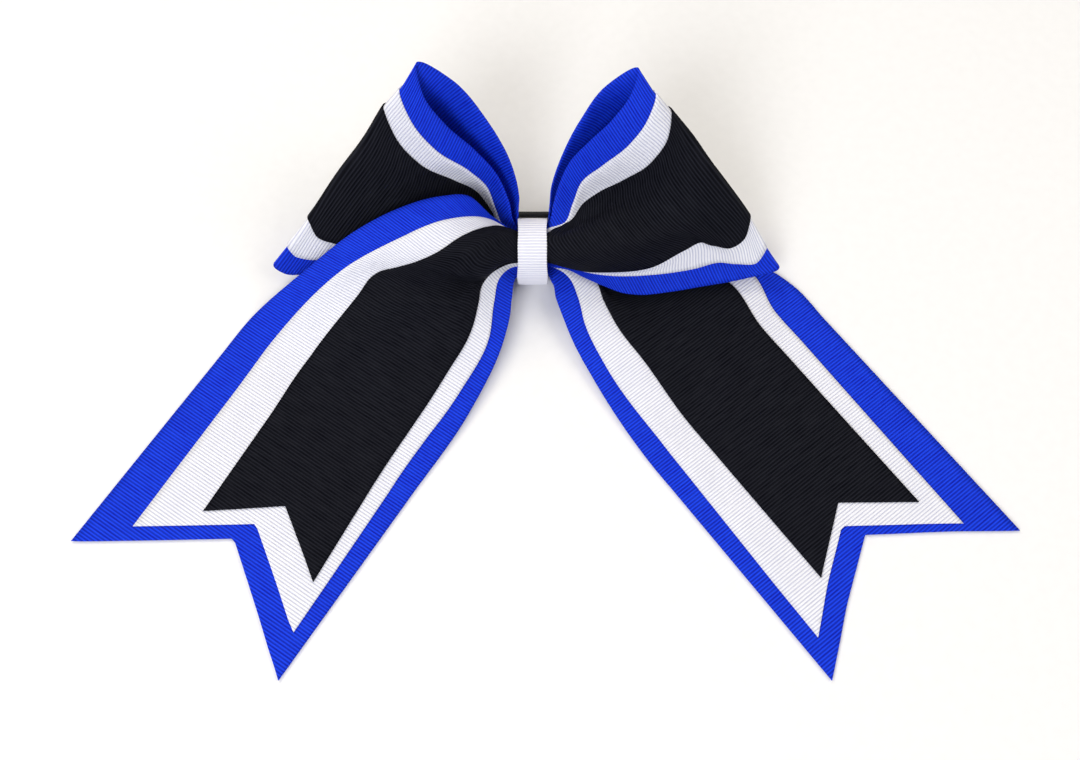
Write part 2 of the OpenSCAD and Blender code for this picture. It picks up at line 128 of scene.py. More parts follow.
# Each rail of a tail is (place across, points from the knot), and the flat part takes over.
LEFT_TAIL = [
    (38.1, [[-3, 4, 12.5], [-7.5, 6.2, 14.3], [-10, 8, 16.5], [-13.7, 9.5, 20], [-19.5, 13.4, 24],
            [-27.6, 12.2, 26], [-40, 8.8, 25], [-52, 4.1, 21.5], [-70, -5, 11]]),
    (28.6, [[-3, 3.6, 14.6], [-7.5, 5.3, 16.3], [-10.5, 6.2, 18.5], [-13.5, 6.6, 21], [-17, 6.1, 23.8],
            [-27.2, 3.4, 27], [-39.8, -0.4, 23.5], [-55, -5, 16]]),
    (19, [[-3, 2.6, 17], [-7.5, 4.2, 18.3], [-12.8, 3.4, 22], [-17, 1.4, 24], [-21.1, -0.8, 25],
          [-27.2, -4.5, 24.3], [-33.4, -6.2, 21.5], [-40, -6.8, 18.5], [-46.5, -7.5, 15.3],
          [-54, -13, 10]]),
    (10, [[-3, 1.5, 18.8], [-7.5, 2, 20.3], [-12.5, 0.3, 22.8], [-19, -4, 23.5], [-25.5, -7.8, 20.5],
          [-30, -9.2, 16.5], [-33.5, -10.6, 14.3], [-42, -15.5, 12.3]]),
    (1, [[-3, -1, 19.3], [-7.5, -1.3, 20.6], [-12.5, -3.7, 21.8], [-17.5, -7.6, 19.7], [-20.5, -8.5, 16],
         [-22.5, -8.2, 12.6], [-26, -11, 12], [-31, -15.2, 11.8], [-39.5, -20, 10]]),
    (-7, [[-3, -3, 16.3], [-7.5, -3.7, 17.2], [-12, -6, 17.4], [-14.6, -7.7, 15],
          [-16, -7.6, 12], [-19, -10.5, 11.2], [-24, -15.5, 10.8], [-36, -24, 7.5]]),
    (-14, [[-3, -1, 13.5], [-7.5, -1.6, 13.8], [-13, -4.5, 12.8], [-17.5, -9, 11], [-23, -20, 9],
           [-32, -28.5, 5.8]]),
    (-21, [[-3, -1.5, 11.8], [-7.5, -2.2, 11.9], [-12.5, -4.8, 11.5], [-16.5, -8.5, 10.5],
           [-18, -14.5, 9.3], [-21.5, -24, 7], [-28.5, -34, 4.3]]),
    (-29, [[-3, -2.5, 10.3], [-7.3, -3.6, 10.4], [-10.7, -7.1, 10.2], [-12.5, -13.8, 8.3],
           [-14.3, -25.5, 5.2], [-23, -41.5, 2.8]]),
    (-38.1, [[-3, -7.5, 9], [-5.3, -8.5, 9], [-6.3, -13, 8.3], [-6.9, -18.5, 7],
             [-8.7, -25.5, 4.8], [-19, -48, 1.5]]),
]
RIGHT_TAIL = [
    (38.1, [[3, 3, 5.5], [7.5, 4, 5], [16, 6, 3.8], [36, 7.5, 2], [60, 5, 0.8], [72, 1.5, 0.8]]),
    (28.6, [[3, 2.3, 5.8], [7.5, 3, 5.3], [16, 4, 4], [35, 3, 2], [58, 1.5, 0.8], [70, -0.7, 0.8]]),
    (19, [[3, 1.5, 6], [7.5, 2.2, 5.6], [16, 2.5, 4.3], [33, 0, 2.2], [50, -1, 0.8],
          [61, -4.8, 0.8]]),
    (9, [[3, 1, 6.3], [7.5, 1, 6], [15, -1, 4.8], [30, -6.5, 2.3], [44, -9, 0.9], [55, -14, 0.8]]),
    (-7, [[3, 0.5, 6.7], [7.5, -0.2, 6.5], [13, -3, 5.8], [24, -11, 3.5], [38, -20, 1.3],
          [46, -28.5, 0.8]]),
    (-19, [[3, 0, 7.2], [7.5, -0.7, 7.2], [13, -3.6, 7], [18.5, -6.7, 6.3], [21.7, -13.5, 5.2],
           [26.5, -22.5, 4], [34, -32.3, 2.5]]),
    (-28.6, [[3, -1.5, 7.5], [8, -2.8, 7.3], [12, -5.8, 6.9], [14.8, -11.5, 6], [17, -20, 4.7],
             [23.5, -33, 2.6]]),
    (-38.1, [[3, -7, 7.5], [5.7, -7.5, 7.2], [7.3, -12.5, 6], [9.5, -18.5, 5], [12.1, -25, 3.8],
             [18.9, -38, 2]]),
]

# A tail runs from the knot to its tip line. tip is the middle of that line, heading the flat
# part's direction in degrees, side the way that v runs across it, length the middle's length and
# gain what each millimetre of v adds to it. The flat part starts at flat_from of the length, and
# drawn_in is the share by which its bottom and top edges are drawn in.
# setback, notch and apex hold a number for each layer: how far its cut lies behind the tip line,
# how deep the notch is, and how far the notch's point is off the middle. skew leans every cut.
# white and black give how far that ribbon's bottom and top edges are moved across the blue
# ribbon, at the shares SHIFT_RUN of the way from the knot to the tips.
SHIFT_RUN = [0, 0.26, 0.46, 0.6, 0.8, 1]
TAILS = {
    "left": dict(rails=LEFT_TAIL, tip=(-103.6, -108.8), heading=236.5, side=1, length=158, gain=0.5,
                 flat_from=0.525, setback=[0, 13.2, 27.8], skew=0.026, apex=[-2.5, -1.5, 0],
                 drawn_in=(0.05, 0), notch=[26, 19.7, 14],
                 white=([-1.5, -1.5, -1.9, -3.2, -4.3, -5.2], [0, 0, -1, -1.8, -2.5, -3.3]),
                 black=([-3, -4.5, -5.9, -7.3, -10, -12], [0, 0, -4.3, -6.1, -7.8, -9])),
    "right": dict(rails=RIGHT_TAIL, tip=(114.4, -107.2), heading=-52.3, side=-1, length=162,
                  gain=0.4, flat_from=0.44, setback=[0, 11.5, 24], skew=0.026, apex=[0, 0, 0],
                  drawn_in=(0.11, 0.06), notch=[26, 20.5, 14],
                  white=([-1, -1.6, -2, -2.7, -3.7, -4.3], [-1, -1.6, -2, -2.4, -2.9, -3.3]),
                  black=([0.2, 0.2, 0.1, 0, 0, 0], [0.2, 0.2, 0.1, 0, 0, 0])),
}
# Height of a flat tail's underside over the floor, and the share of the length it settles in
TAIL_LIE = 0.3
SETTLE = 0.08
FLAT_MIDWAY = 0.8


def eased(share):
    """share from 0 to 1, with soft ends."""
    return share ** 2 * (3 - 2 * share)


def run_lengths(points):
    """Distance along a path at each of its points."""
    return np.r_[0, np.cumsum(np.linalg.norm(np.diff(points, axis=0), axis=1))]


def slopes(values, gaps):
    """Slope at each value, from the values on both sides, gaps apart."""
    gaps = gaps.reshape((-1,) + (1,) * (values.ndim - 1))
    slope = np.diff(values, axis=0) / gaps
    inner = (slope[:-1] * gaps[1:] + slope[1:] * gaps[:-1]) / (gaps[:-1] + gaps[1:])
    return np.concatenate([slope[:1], inner, slope[-1:]])


def hermite(s, step, start, start_slope, end, end_slope):
    """Value at share s of a step between two values with given slopes."""
    return ((2 * s**3 - 3 * s**2 + 1) * start + (s**3 - 2 * s**2 + s) * step * start_slope
            + (3 * s**2 - 2 * s**3) * end + (s**3 - s**2) * step * end_slope)


def step_before(stations, x):
    """Index of the step between stations that holds each x."""
    return np.clip(np.searchsorted(stations, x, side="right") - 1, 0, len(stations) - 2)


CURVE_POINTS = 600


def curve(points):
    """A smooth curve: (its points, chord distance at each of them and at the given points)."""
    p = np.asarray(points, float)
    stations = run_lengths(p)
    x = np.linspace(0, stations[-1], CURVE_POINTS)
    gaps = np.diff(stations)
    m = slopes(p, gaps)
    i = step_before(stations, x)
    s = ((x - stations[i]) / gaps[i])[:, None]
    return hermite(s, gaps[i][:, None], p[i], m[i], p[i + 1], m[i + 1]), x, stations


class Ribbon:
    """The underside of a blue ribbon: a point for each distance u along it and place v across.

    u is 0 at a tail's tip line or a loop's turn, and each rail keeps its own length.
    """

    def __init__(self, v, rails, zeros):
        order = np.argsort(v)
        self.v = np.asarray(v, float)[order]
        self.rails = []
        for k in order:
            dense, x, stations = curve(rails[k])
            run = run_lengths(dense)
            self.rails.append((run - np.interp(stations[zeros[k]], x, run), dense))
        self.first = min(run[0] for run, dense in self.rails)
        self.last = max(run[-1] for run, dense in self.rails)

    def points(self, uu, vv):
        """Points for grids of distances uu and places vv."""
        rails = np.empty((len(self.rails),) + uu.shape + (3,))
        for r, (run, dense) in enumerate(self.rails):
            for k in range(3):
                rails[r, ..., k] = np.interp(uu, run, dense[:, k])
        gaps = np.diff(self.v)
        m = slopes(rails, gaps)
        i = step_before(self.v, vv)
        s = ((vv - self.v[i]) / gaps[i])[..., None]
        a, b = np.indices(uu.shape)
        return hermite(s, gaps[i][..., None], rails[i, a, b], m[i, a, b],
                       rails[i + 1, a, b], m[i + 1, a, b])


def tail_ribbon(tail):
    """The blue ribbon of a tail: its curved root, then the flat part."""
    a = math.radians(tail["heading"])
    heading = np.array([math.cos(a), math.sin(a), 0])
    side = np.array([heading[1], -heading[0], 0]) * tail["side"]
    tip = np.array([tail["tip"][0], tail["tip"][1], TAIL_LIE])
    low, high = tail["drawn_in"]
    black = HALF_WIDTH[BLACK]
    rails = []
    for v, points in tail["rails"]:
        length = tail["length"] + tail["gain"] * v
        place = v + low * max(0, -black - v) - high * max(0, v - black)
        flat = [tip + side * place - heading * length * (1 - t)
                for t in (tail["flat_from"], tail["flat_from"] + SETTLE, FLAT_MIDWAY, 1)]
        rails.append(points + flat)
    return Ribbon([v for v, points in tail["rails"]], rails, [len(rail) - 1 for rail in rails])


def loop_ribbon(loop):
    """The blue ribbon of a loop, from the knot round the turn and back."""
    return Ribbon([v for v, front, back in loop], [front + back for v, front, back in loop],
                  [len(front) - 1 for v, front, back in loop])


RIBBONS = {
    "left_tail": tail_ribbon(TAILS["left"]),
    "right_tail": tail_ribbon(TAILS["right"]),
    "left_loop": loop_ribbon(LEFT_LOOP),
    "right_loop": loop_ribbon(RIGHT_LOOP),
}
# The side of the blue ribbon on which white and black lie, as u cross v or against it
FACE = {"left_tail": -1, "right_tail": 1, "left_loop": -1, "right_loop": 1}
# Columns between one ribbon edge and the next, with the middle as an edge
COLUMNS = [5, 5, 12, 12, 5, 5]


def edge_places(name, run):
    """Places across of all ribbon edges and the middle, for run from 0 (knot) to 1 (tips)."""
    shape = np.shape(run)
    moved = {WHITE: (np.zeros(shape), np.zeros(shape)), BLACK: (np.zeros(shape), np.zeros(shape))}
    if name.endswith("tail"):
        tail = TAILS[name.split("_")[0]]
        for layer, key in ((WHITE, "white"), (BLACK, "black")):
            moved[layer] = tuple(np.interp(run, SHIFT_RUN, edge) for edge in tail[key])
    white_low, white_high = moved[WHITE]
    black_low, black_high = moved[BLACK]
    return np.stack([np.full(shape, -HALF_WIDTH[BLUE]), white_low - HALF_WIDTH[WHITE],
                     black_low - HALF_WIDTH[BLACK], (black_low + black_high) / 2,
                     black_high + HALF_WIDTH[BLACK], white_high + HALF_WIDTH[WHITE],
                     np.full(shape, HALF_WIDTH[BLUE])], -1)


def column_shares(layer):
    """For each column of a layer: the edge before it and its share of the way to the next."""
    shares = [(layer, 0)]
    for i in range(layer, 6 - layer):
        shares += [(i, j / COLUMNS[i]) for j in range(1, COLUMNS[i] + 1)]
    return np.array([i for i, share in shares]), np.array([share for i, share in shares])


def layer_places(name, layer, run):
    """Places across of a layer's columns, where run has a value for every column."""
    edges = edge_places(name, run)
    before, share = column_shares(layer)
    columns = np.arange(len(before))
    return edges[..., columns, before] * (1 - share) + edges[..., columns, before + 1] * share


def layer_grid(name, layer):
    """(points, u, v, kept cells): one layer's grid on the ribbon, before its thickness."""
    ribbon = RIBBONS[name]
    rows = int((ribbon.last - ribbon.first) / ROW_STEP) + 1
    u = ribbon.first + np.arange(rows) * ROW_STEP
    count = len(column_shares(layer)[0])
    if name.endswith("tail"):
        tail = TAILS[name.split("_")[0]]
        tips = layer_places(name, layer, np.ones(count))
        apex = (tips[0] + tips[-1]) / 2 + tail["apex"][layer]
        depth = np.minimum((tips - tips[0]) / (apex - tips[0]),
                           (tips[-1] - tips) / (tips[-1] - apex))
        cut = (tail["setback"][layer] + tail["notch"][layer] * depth
               + tail["skew"] * (HALF_WIDTH[BLUE] - tips))
        uu = np.minimum(u[:, None], -cut[None, :])
        vv = layer_places(name, layer, 1 + uu / tail["length"])
        past = u[:-1, None] >= -cut[None, :]
        kept = ~(past[:, :-1] & past[:, 1:])
    else:
        uu = np.repeat(u[:, None], count, axis=1)
        vv = layer_places(name, layer, uu)
        kept = np.ones((rows - 1, vv.shape[1] - 1), bool)
    points = ribbon.points(uu, vv)
    inside = np.abs(points[:, :, 0]) > KNOT_HALF
    kept &= inside[:-1, :-1] & inside[1:, :-1] & inside[:-1, 1:] & inside[1:, 1:]
    return points, uu, vv, kept


# --- Meshes ---

# The knot's middle in Y, which is WRAP_HALF_Z high, and the half sizes of the wrap round it
KNOT_Y = 1.7
WRAP_HALF_W = 4.75
WRAP_HALF_Y = 9.7
WRAP_HALF_Z = 10.75
# Up to CINCH_FROM from the bow's middle, the ribbons stay inside CINCH_LIMIT of the wrap's size,
# and by CINCH_TO that limit has opened by CINCH_OPENING and ends. Ribbon that lies further out
# than CINCH_SIZE of the wrap's size is left alone, after a fade.
CINCH_LIMIT = 0.8
CINCH_OPENING = 0.9
CINCH_FROM = 4.9
CINCH_TO = 7
CINCH_SIZE = 1.15
CINCH_FADE = 0.3
CINCH_POWER = 8


def unit(vectors):
    """Vectors scaled to a length of 1, except those of no length."""
    length = np.linalg.norm(vectors, axis=-1, keepdims=True)
    return vectors / np.where(length < 1e-12, 1, length)


NORMAL_REACH = 3
NORMAL_TURNS = 20


def grid_normals(points):
    """Unit normals of a grid, from neighbours NORMAL_REACH rows and one column away."""
    rows = np.arange(len(points))
    after = points[np.minimum(rows + NORMAL_REACH, rows[-1])]
    before = points[np.maximum(rows - NORMAL_REACH, 0)]
    normals = unit(np.cross(after - before, np.gradient(points, axis=1)))
    # Rows past a tail's cut all lie on it, so they take the normals of the row before them
    for row in rows[1:]:
        stuck = np.linalg.norm(normals[row], axis=-1) < 0.5
        normals[row][stuck] = normals[row - 1][stuck]
    # Smoothed, so that the layers of a tight crease don't cross one another
    for turn in range(NORMAL_TURNS):
        padded = np.pad(normals, ((1, 1), (1, 1), (0, 0)), mode="edge")
        along = padded[:-2, 1:-1] + 2 * normals + padded[2:, 1:-1]
        across = padded[1:-1, :-2] + 2 * normals + padded[1:-1, 2:]
        normals = unit(along + across)
    return normals


def linked(name, data):
    """A new object in the scene, for a mesh, light or camera."""
    obj = bpy.data.objects.new(name, data)
    bpy.context.scene.collection.objects.link(obj)
    return obj


def new_mesh(name, points, faces, uv=None):
    """A mesh object from points in millimetres and quads, with one UV place for each point."""
    mesh = bpy.data.meshes.new(name)
    mesh.vertices.add(len(points))
    mesh.vertices.foreach_set("co", (np.asarray(points) * MM).astype(np.float32).ravel())
    faces = np.asarray(faces)
    mesh.loops.add(faces.size)
    mesh.loops.foreach_set("vertex_index", faces.astype(np.int32).ravel())
    mesh.polygons.add(len(faces))
    mesh.polygons.foreach_set("loop_start", np.arange(0, faces.size, 4, dtype=np.int32))
    mesh.update(calc_edges=True)
    if uv is not None:
        layer = mesh.uv_layers.new(name="ribbon")
        layer.data.foreach_set("uv", np.asarray(uv)[faces.ravel()].astype(np.float32).ravel())
    mesh.validate()
    mesh.shade_smooth()
    return linked(name, mesh)


def groove_depth(u):
    """Depth of the groove between two ribs at u, 0 on a rib's crown."""
    return RIB_HEIGHT * (1 - np.abs(np.sin(math.pi * u / RIB_PITCH)) ** RIB_ROUNDNESS)


def cinched(points):
    """Points near the wrap pulled in round the knot's middle, so that they pass inside it."""
    reach = np.abs(points[..., 0])
    opening = np.clip((reach - CINCH_FROM) / (CINCH_TO - CINCH_FROM), 0, 1)
    limit = CINCH_LIMIT + CINCH_OPENING * eased(opening)
    size = np.hypot((points[..., 1] - KNOT_Y) / WRAP_HALF_Y,
                    (points[..., 2] - WRAP_HALF_Z) / WRAP_HALF_Z)
    near = np.clip((CINCH_SIZE + CINCH_FADE - size) / CINCH_FADE, 0, 1)
    pull = np.where(opening < 1, (1 + (size / limit) ** CINCH_POWER) ** (-1 / CINCH_POWER), 1)
    pull = 1 + (pull - 1) * eased(near)
    middle = np.array([0, KNOT_Y, WRAP_HALF_Z])
    scale = np.stack([np.ones_like(pull), pull, pull], -1)
    return middle + (points - middle) * scale


WELD = 2e-6
SLIVER = 1e-6


def sheet(name, points, u, v, kept, low, face, thickness=RIBBON_T):
    """A closed ribbon sheet from a grid: its ribbed faces and, where cells end, its edges.

    It lies from low to low + thickness over the grid, on the side that face (1 or -1) gives.
    """
    rows, cols = u.shape
    normal = grid_normals(points) * face
    edge = np.minimum(v - v[:, :1], v[:, -1:] - v)
    groove = groove_depth(u) * np.clip(edge / SELVEDGE, SELVEDGE_RIB, 1)
    under = points + normal * (low + groove)[..., None]
    over = points + normal * (low + thickness - groove)[..., None]
    index = np.arange(rows * cols).reshape(rows, cols)
    a, b = index[:-1, :-1][kept], index[:-1, 1:][kept]
    d, c = index[1:, :-1][kept], index[1:, 1:][kept]
    size = rows * cols
    quads = [np.stack([a, b, c, d], 1), np.stack([a, d, c, b], 1) + size]
    solid = np.pad(kept, 1)
    for shift, start, end in (((-1, 0), b, a), ((1, 0), d, c), ((0, -1), a, d), ((0, 1), c, b)):
        beyond = ~np.roll(solid, (-shift[0], -shift[1]), (0, 1))[1:-1, 1:-1][kept]
        p, q = start[beyond], end[beyond]
        quads.append(np.stack([p, q, q + size, p + size], 1))
    faces = np.concatenate(quads)
    if face < 0:
        faces = faces[:, ::-1]
    flat_uv = np.stack([u.ravel(), v.ravel()], 1)
    both = np.concatenate([under.reshape(-1, 3), over.reshape(-1, 3)])
    used = np.unique(faces)
    new_index = np.full(2 * size, -1)
    new_index[used] = np.arange(len(used))
    obj = new_mesh(name, both[used], new_index[faces], np.vstack([flat_uv, flat_uv])[used])
    bm = bmesh.new()
    bm.from_mesh(obj.data)
    bmesh.ops.remove_doubles(bm, verts=bm.verts, dist=WELD)
    bmesh.ops.dissolve_degenerate(bm, edges=bm.edges, dist=SLIVER)
    bm.to_mesh(obj.data)
    bm.free()
    return obj


def ribbon_sheet(name, layer):
    """One layer of a loop or tail."""
    points, u, v, kept = layer_grid(name, layer)
    return sheet(f"{LAYER_NAMES[layer]}_{name}_ribbon", cinched(points), u, v, kept,
                 layer * LAYER_STEP, FACE[name])


# --- Materials ---

# Places of the colour sockets on a Mix node
MIX_FACTOR, MIX_A, MIX_B, MIX_RESULT = 0, 6, 7, 2


class Nodes:
    """Short names for building one material's nodes."""

    def __init__(self, name):
        self.material = bpy.data.materials.new(name)
        self.material.use_nodes = True
        self.tree = self.material.node_tree
        self.shader = self.tree.nodes["Principled BSDF"]

    def add(self, kind, **settings):
        node = self.tree.nodes.new(kind)
        for key, value in settings.items():
            setattr(node, key, value)
        return node

    def link(self, source, target):
        self.tree.links.new(source, target)

    def put(self, target, value):
        if isinstance(value, bpy.types.NodeSocket):
            self.link(value, target)
        else:
            target.default_value = value

    def math(self, operation, a, b=0.0):
        node = self.add("ShaderNodeMath", operation=operation)
        self.put(node.inputs[0], a)
        self.put(node.inputs[1], b)
        return node.outputs[0]

    def ramp(self, value, low, high, to_low=0.0, to_high=1.0):
        node = self.tree.nodes.new("ShaderNodeMapRange")
        self.link(value, node.inputs["Value"])
        for key, number in (("From Min", low), ("From Max", high), ("To Min", to_low),
                            ("To Max", to_high)):
            node.inputs[key].default_value = number
        return node.outputs["Result"]

    def mix(self, factor, a, b):
        node = self.add("ShaderNodeMix", data_type="RGBA")
        self.put(node.inputs[MIX_FACTOR], factor)
        self.put(node.inputs[MIX_A], a)
        self.put(node.inputs[MIX_B], b)
        return node.outputs[MIX_RESULT]

    def noise(self, vector, scale, detail=2.0, roughness=0.5):
        node = self.tree.nodes.new("ShaderNodeTexNoise")
        self.link(vector, node.inputs["Vector"])
        node.inputs["Scale"].default_value = scale
        node.inputs["Detail"].default_value = detail
        node.inputs["Roughness"].default_value = roughness
        return node.outputs["Fac"]

    def bump(self, height, strength, distance, normal=None):
        node = self.tree.nodes.new("ShaderNodeBump")
        node.inputs["Strength"].default_value = strength
        node.inputs["Distance"].default_value = distance
        self.link(height, node.inputs["Height"])
        if normal is not None:
            self.link(normal, node.inputs["Normal"])
        return node.outputs["Normal"]


def rgba(colour):
    return (colour[0], colour[1], colour[2], 1.0)


WARP_PITCH = 0.32


def grosgrain(name, colour, groove, crown_highlight_and_streak, sheen, roughness, specular):
    """Grosgrain ribbon: colour on the ribs, painted shade (the groove colour) in the grooves between
    them and a painted highlight along their crowns, with lighter streaks and darker patches at random
    and a painted highlight on the warp threads' tops.

    UV is (u, v) in millimetres.
    """
    n = Nodes(name)
    uv = n.add("ShaderNodeUVMap", uv_map="ribbon").outputs["UV"]
    split = n.add("ShaderNodeSeparateXYZ")
    n.link(uv, split.inputs[0])
    u, v = split.outputs["X"], split.outputs["Y"]
    phase = n.math("MULTIPLY", u, math.pi / RIB_PITCH)
    rib = n.math("ABSOLUTE", n.math("SINE", phase))
    crown = n.math("POWER", rib, 0.7)
    # Warp threads pass over each rib side by side, and every other rib is shifted by half a thread
    row = n.math("FLOOR", n.math("DIVIDE", u, RIB_PITCH))
    offset = n.math("MULTIPLY", n.math("MODULO", row, 2.0), WARP_PITCH / 2)
    thread = n.math("SINE", n.math("MULTIPLY", n.math("ADD", v, offset), 2 * math.pi / WARP_PITCH))
    thread = n.math("MULTIPLY", thread, crown)
    scaled = n.add("ShaderNodeVectorMath", operation="MULTIPLY")
    n.link(uv, scaled.inputs[0])
    scaled.inputs[1].default_value = (1.0, 0.12, 1.0)
    streak = n.noise(scaled.outputs[0], 1.1, 3.0, 0.6)
    patch = n.noise(uv, 0.09, 3.0, 0.55)
    fine = n.noise(uv, 5.0, 2.0, 0.7)
    # Painted shade: between the ribs the colour turns to the darker groove colour
    base = n.mix(n.ramp(rib, 0.25, 0.85), rgba(groove), rgba(colour))
    # Painted highlight along the ribs' crowns
    base = n.mix(n.ramp(rib, 0.8, 1.0, 0.0, 0.6), base, rgba(crown_highlight_and_streak))
    # Lighter streaks at random, in the painted highlight colour
    base = n.mix(n.ramp(streak, 0.35, 0.75, 0.0, 0.35), base, rgba(crown_highlight_and_streak))
    # Darker patches at random, in the groove's painted shade colour
    base = n.mix(n.ramp(patch, 0.3, 0.75, 0.0, 0.18), base, rgba(groove))
    # Painted highlight on the tops of the warp threads, along the rib crowns
    base = n.mix(n.ramp(thread, -1.0, 1.0, 0.0, 0.12), base, rgba(crown_highlight_and_streak))
    n.link(base, n.shader.inputs["Base Color"])
    rough = n.math("ADD", n.ramp(fine, 0.2, 0.8, roughness - 0.07, roughness + 0.07),
                   n.ramp(rib, 0.0, 1.0, 0.1, 0.0))
    n.link(rough, n.shader.inputs["Roughness"])
    n.shader.inputs["Sheen Weight"].default_value = sheen
    n.shader.inputs["Sheen Roughness"].default_value = 0.35
    n.shader.inputs["Sheen Tint"].default_value = rgba(crown_highlight_and_streak)
    n.shader.inputs["Specular IOR Level"].default_value = specular
    normal = n.bump(crown, 0.8, 0.00016)
    normal = n.bump(thread, 0.35, 0.00004, normal)
    normal = n.bump(fine, 0.25, 0.00003, normal)
    n.link(normal, n.shader.inputs["Normal"])
    return n.material


def plastic(name, colour, dark, roughness, scale, bump, subsurface=0.0):
    """Smooth or waxy stuff with a faint mottle, placed by object coordinates."""
    n = Nodes(name)
    place = n.add("ShaderNodeTexCoord").outputs["Object"]
    mottle = n.noise(place, scale, 4.0, 0.6)
    n.link(n.mix(n.ramp(mottle, 0.3, 0.75), rgba(colour), rgba(dark)), n.shader.inputs["Base Color"])
    n.link(n.ramp(mottle, 0.3, 0.7, roughness - 0.08, roughness + 0.08), n.shader.inputs["Roughness"])
    n.link(n.bump(mottle, 0.5, bump), n.shader.inputs["Normal"])
    n.shader.inputs["Subsurface Weight"].default_value = subsurface
    n.shader.inputs["Subsurface Radius"].default_value = (0.004, 0.003, 0.002)
    n.shader.inputs["Subsurface Scale"].default_value = 0.3
    return n.material


# --- Building the scene ---

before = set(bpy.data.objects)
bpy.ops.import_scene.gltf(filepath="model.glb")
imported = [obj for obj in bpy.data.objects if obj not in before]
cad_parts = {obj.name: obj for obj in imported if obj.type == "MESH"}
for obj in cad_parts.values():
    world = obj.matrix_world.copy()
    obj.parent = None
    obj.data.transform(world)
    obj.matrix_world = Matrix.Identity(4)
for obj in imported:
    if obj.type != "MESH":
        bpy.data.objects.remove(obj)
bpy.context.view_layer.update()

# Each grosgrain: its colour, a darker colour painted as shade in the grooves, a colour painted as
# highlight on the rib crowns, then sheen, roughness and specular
FINISHES = [
    grosgrain("blue_grosgrain", (0.003, 0.026, 0.68), (0.002, 0.005, 0.3), (0.014, 0.085, 0.92),
              0.02, 0.6, 0.1),
    grosgrain("white_grosgrain", (0.9, 0.905, 0.94), (0.56, 0.57, 0.7), (0.95, 0.95, 0.96),
              0.02, 0.65, 0.2),
    grosgrain("black_grosgrain", (0.003, 0.0034, 0.008), (0.0003, 0.0004, 0.0015),
              (0.024, 0.025, 0.032), 0.01, 0.5, 0.03),
]


def finish_piece(obj, material, node):
    """Gives a piece its material and slot, and puts it in place of a CAD node."""
    obj.data.materials.append(material)
    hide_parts(node)
    return obj


def finish_ribbon(obj, layer, segment):
    """finish_piece for a piece of one layer of the bow's ribbon."""
    colour = LAYER_NAMES[layer]
    return finish_piece(obj, FINISHES[layer], f"{colour}_{segment}")


# Each layer of every loop and tail, pulled in round the knot where it meets the wrap, is built, finished
# and baked in place
for segment in RIBBONS:
    for layer in LAYERS:
        piece = finish_ribbon(ribbon_sheet(segment, layer), layer, segment)
        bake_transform(piece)


# --- The knot ---

def signed_power(values, power):
    """Each value's size to a power, with its sign kept."""
    return np.sign(values) * np.abs(values) ** power


# The outline of the wrap is nearly round in front and squarer at the back, where it is flat.
# Its inner end lies WRAP_LAP_DEPTH inside its outer end, and rises to the outside over WRAP_RISE.
WRAP_FRONT_POWER = 0.95
WRAP_BACK_POWER = 0.72
WRAP_OVERLAP = 5
WRAP_LAP_DEPTH = 0.6
WRAP_RISE_FROM = 1.2 * WRAP_OVERLAP
WRAP_RISE = 4
# The strip narrows by WRAP_PINCH over its front, and each rib stands out at its woven edges
WRAP_PINCH = 0.28
WRAP_PINCH_FROM = 12
WRAP_PINCH_RISE = 8
WRAP_EDGE_RIB = 0.13
WRAP_WAVER = 0.06
WRAP_WAVER_TURN = 0.55
WRAP_CROWN = 0.16
WRAP_COLUMNS = 27
WRAP_T = 0.5
WRAP_LEAST_Z = 0.02


def wrap_outline(inset, count=720):
    """Points (y, z) and their distances round the knot, from the middle of its flat back."""
    turn = np.linspace(-math.pi / 2, 1.5 * math.pi, count)
    power = np.where(np.sin(turn) > 0, WRAP_FRONT_POWER, WRAP_BACK_POWER)
    y = signed_power(np.cos(turn), power)
    z = signed_power(np.sin(turn), power)
    ring = np.stack([KNOT_Y + (WRAP_HALF_Y - inset) * y,
                     WRAP_HALF_Z + (WRAP_HALF_Z - inset) * z], 1)
    return ring, run_lengths(ring)


def wrap_strip():
    """Narrow ribbon wound once round the knot, its outer end glued over its inner end."""
    outer, run = wrap_outline(0)
    inner = wrap_outline(WRAP_LAP_DEPTH)[0]
    total = run[-1]
    rows = int((total + WRAP_OVERLAP) / ROW_STEP) + 1
    u = np.linspace(0, total + WRAP_OVERLAP, rows)
    tuck = 1 - np.clip((u - WRAP_RISE_FROM) / WRAP_RISE, 0, 1)
    ring = np.stack([(1 - tuck) * np.interp(u % total, run, outer[:, k])
                     + tuck * np.interp(u % total, run, inner[:, k]) for k in (0, 1)], 1)
    pinch = np.clip((ring[:, 1] - WRAP_PINCH_FROM) / WRAP_PINCH_RISE, 0, 1)
    waver = WRAP_WAVER * np.sin(u * WRAP_WAVER_TURN) - WRAP_WAVER
    half = WRAP_HALF_W - WRAP_PINCH * pinch - WRAP_EDGE_RIB * groove_depth(u) / RIB_HEIGHT + waver
    across = np.linspace(-1, 1, WRAP_COLUMNS)
    v = half[:, None] * across[None, :]
    crown = WRAP_CROWN * (across ** 2)[None, :] * np.ones_like(v)
    centre = np.array([KNOT_Y, WRAP_HALF_Z])
    inward = unit(centre - ring)
    points = np.stack([v, ring[:, :1] + inward[:, :1] * crown,
                       ring[:, 1:] + inward[:, 1:] * crown], 2)
    points[:, :, 2] = np.maximum(points[:, :, 2], WRAP_LEAST_Z)
    uu = np.repeat(u[:, None], len(across), axis=1)
    kept = np.ones((rows - 1, len(across) - 1), bool)
    return sheet("centre_wrap_ribbon", points, uu, v, kept, -WRAP_T, 1)


GATHER_HALF = 3.8
PLEAT_HALF_PITCH = 1.1
PLEAT_FLARE = 0.05
FOLD_STEPS = 8
# A place in u that puts the ribs of the pleats clear of u = 0
GATHER_U = 40


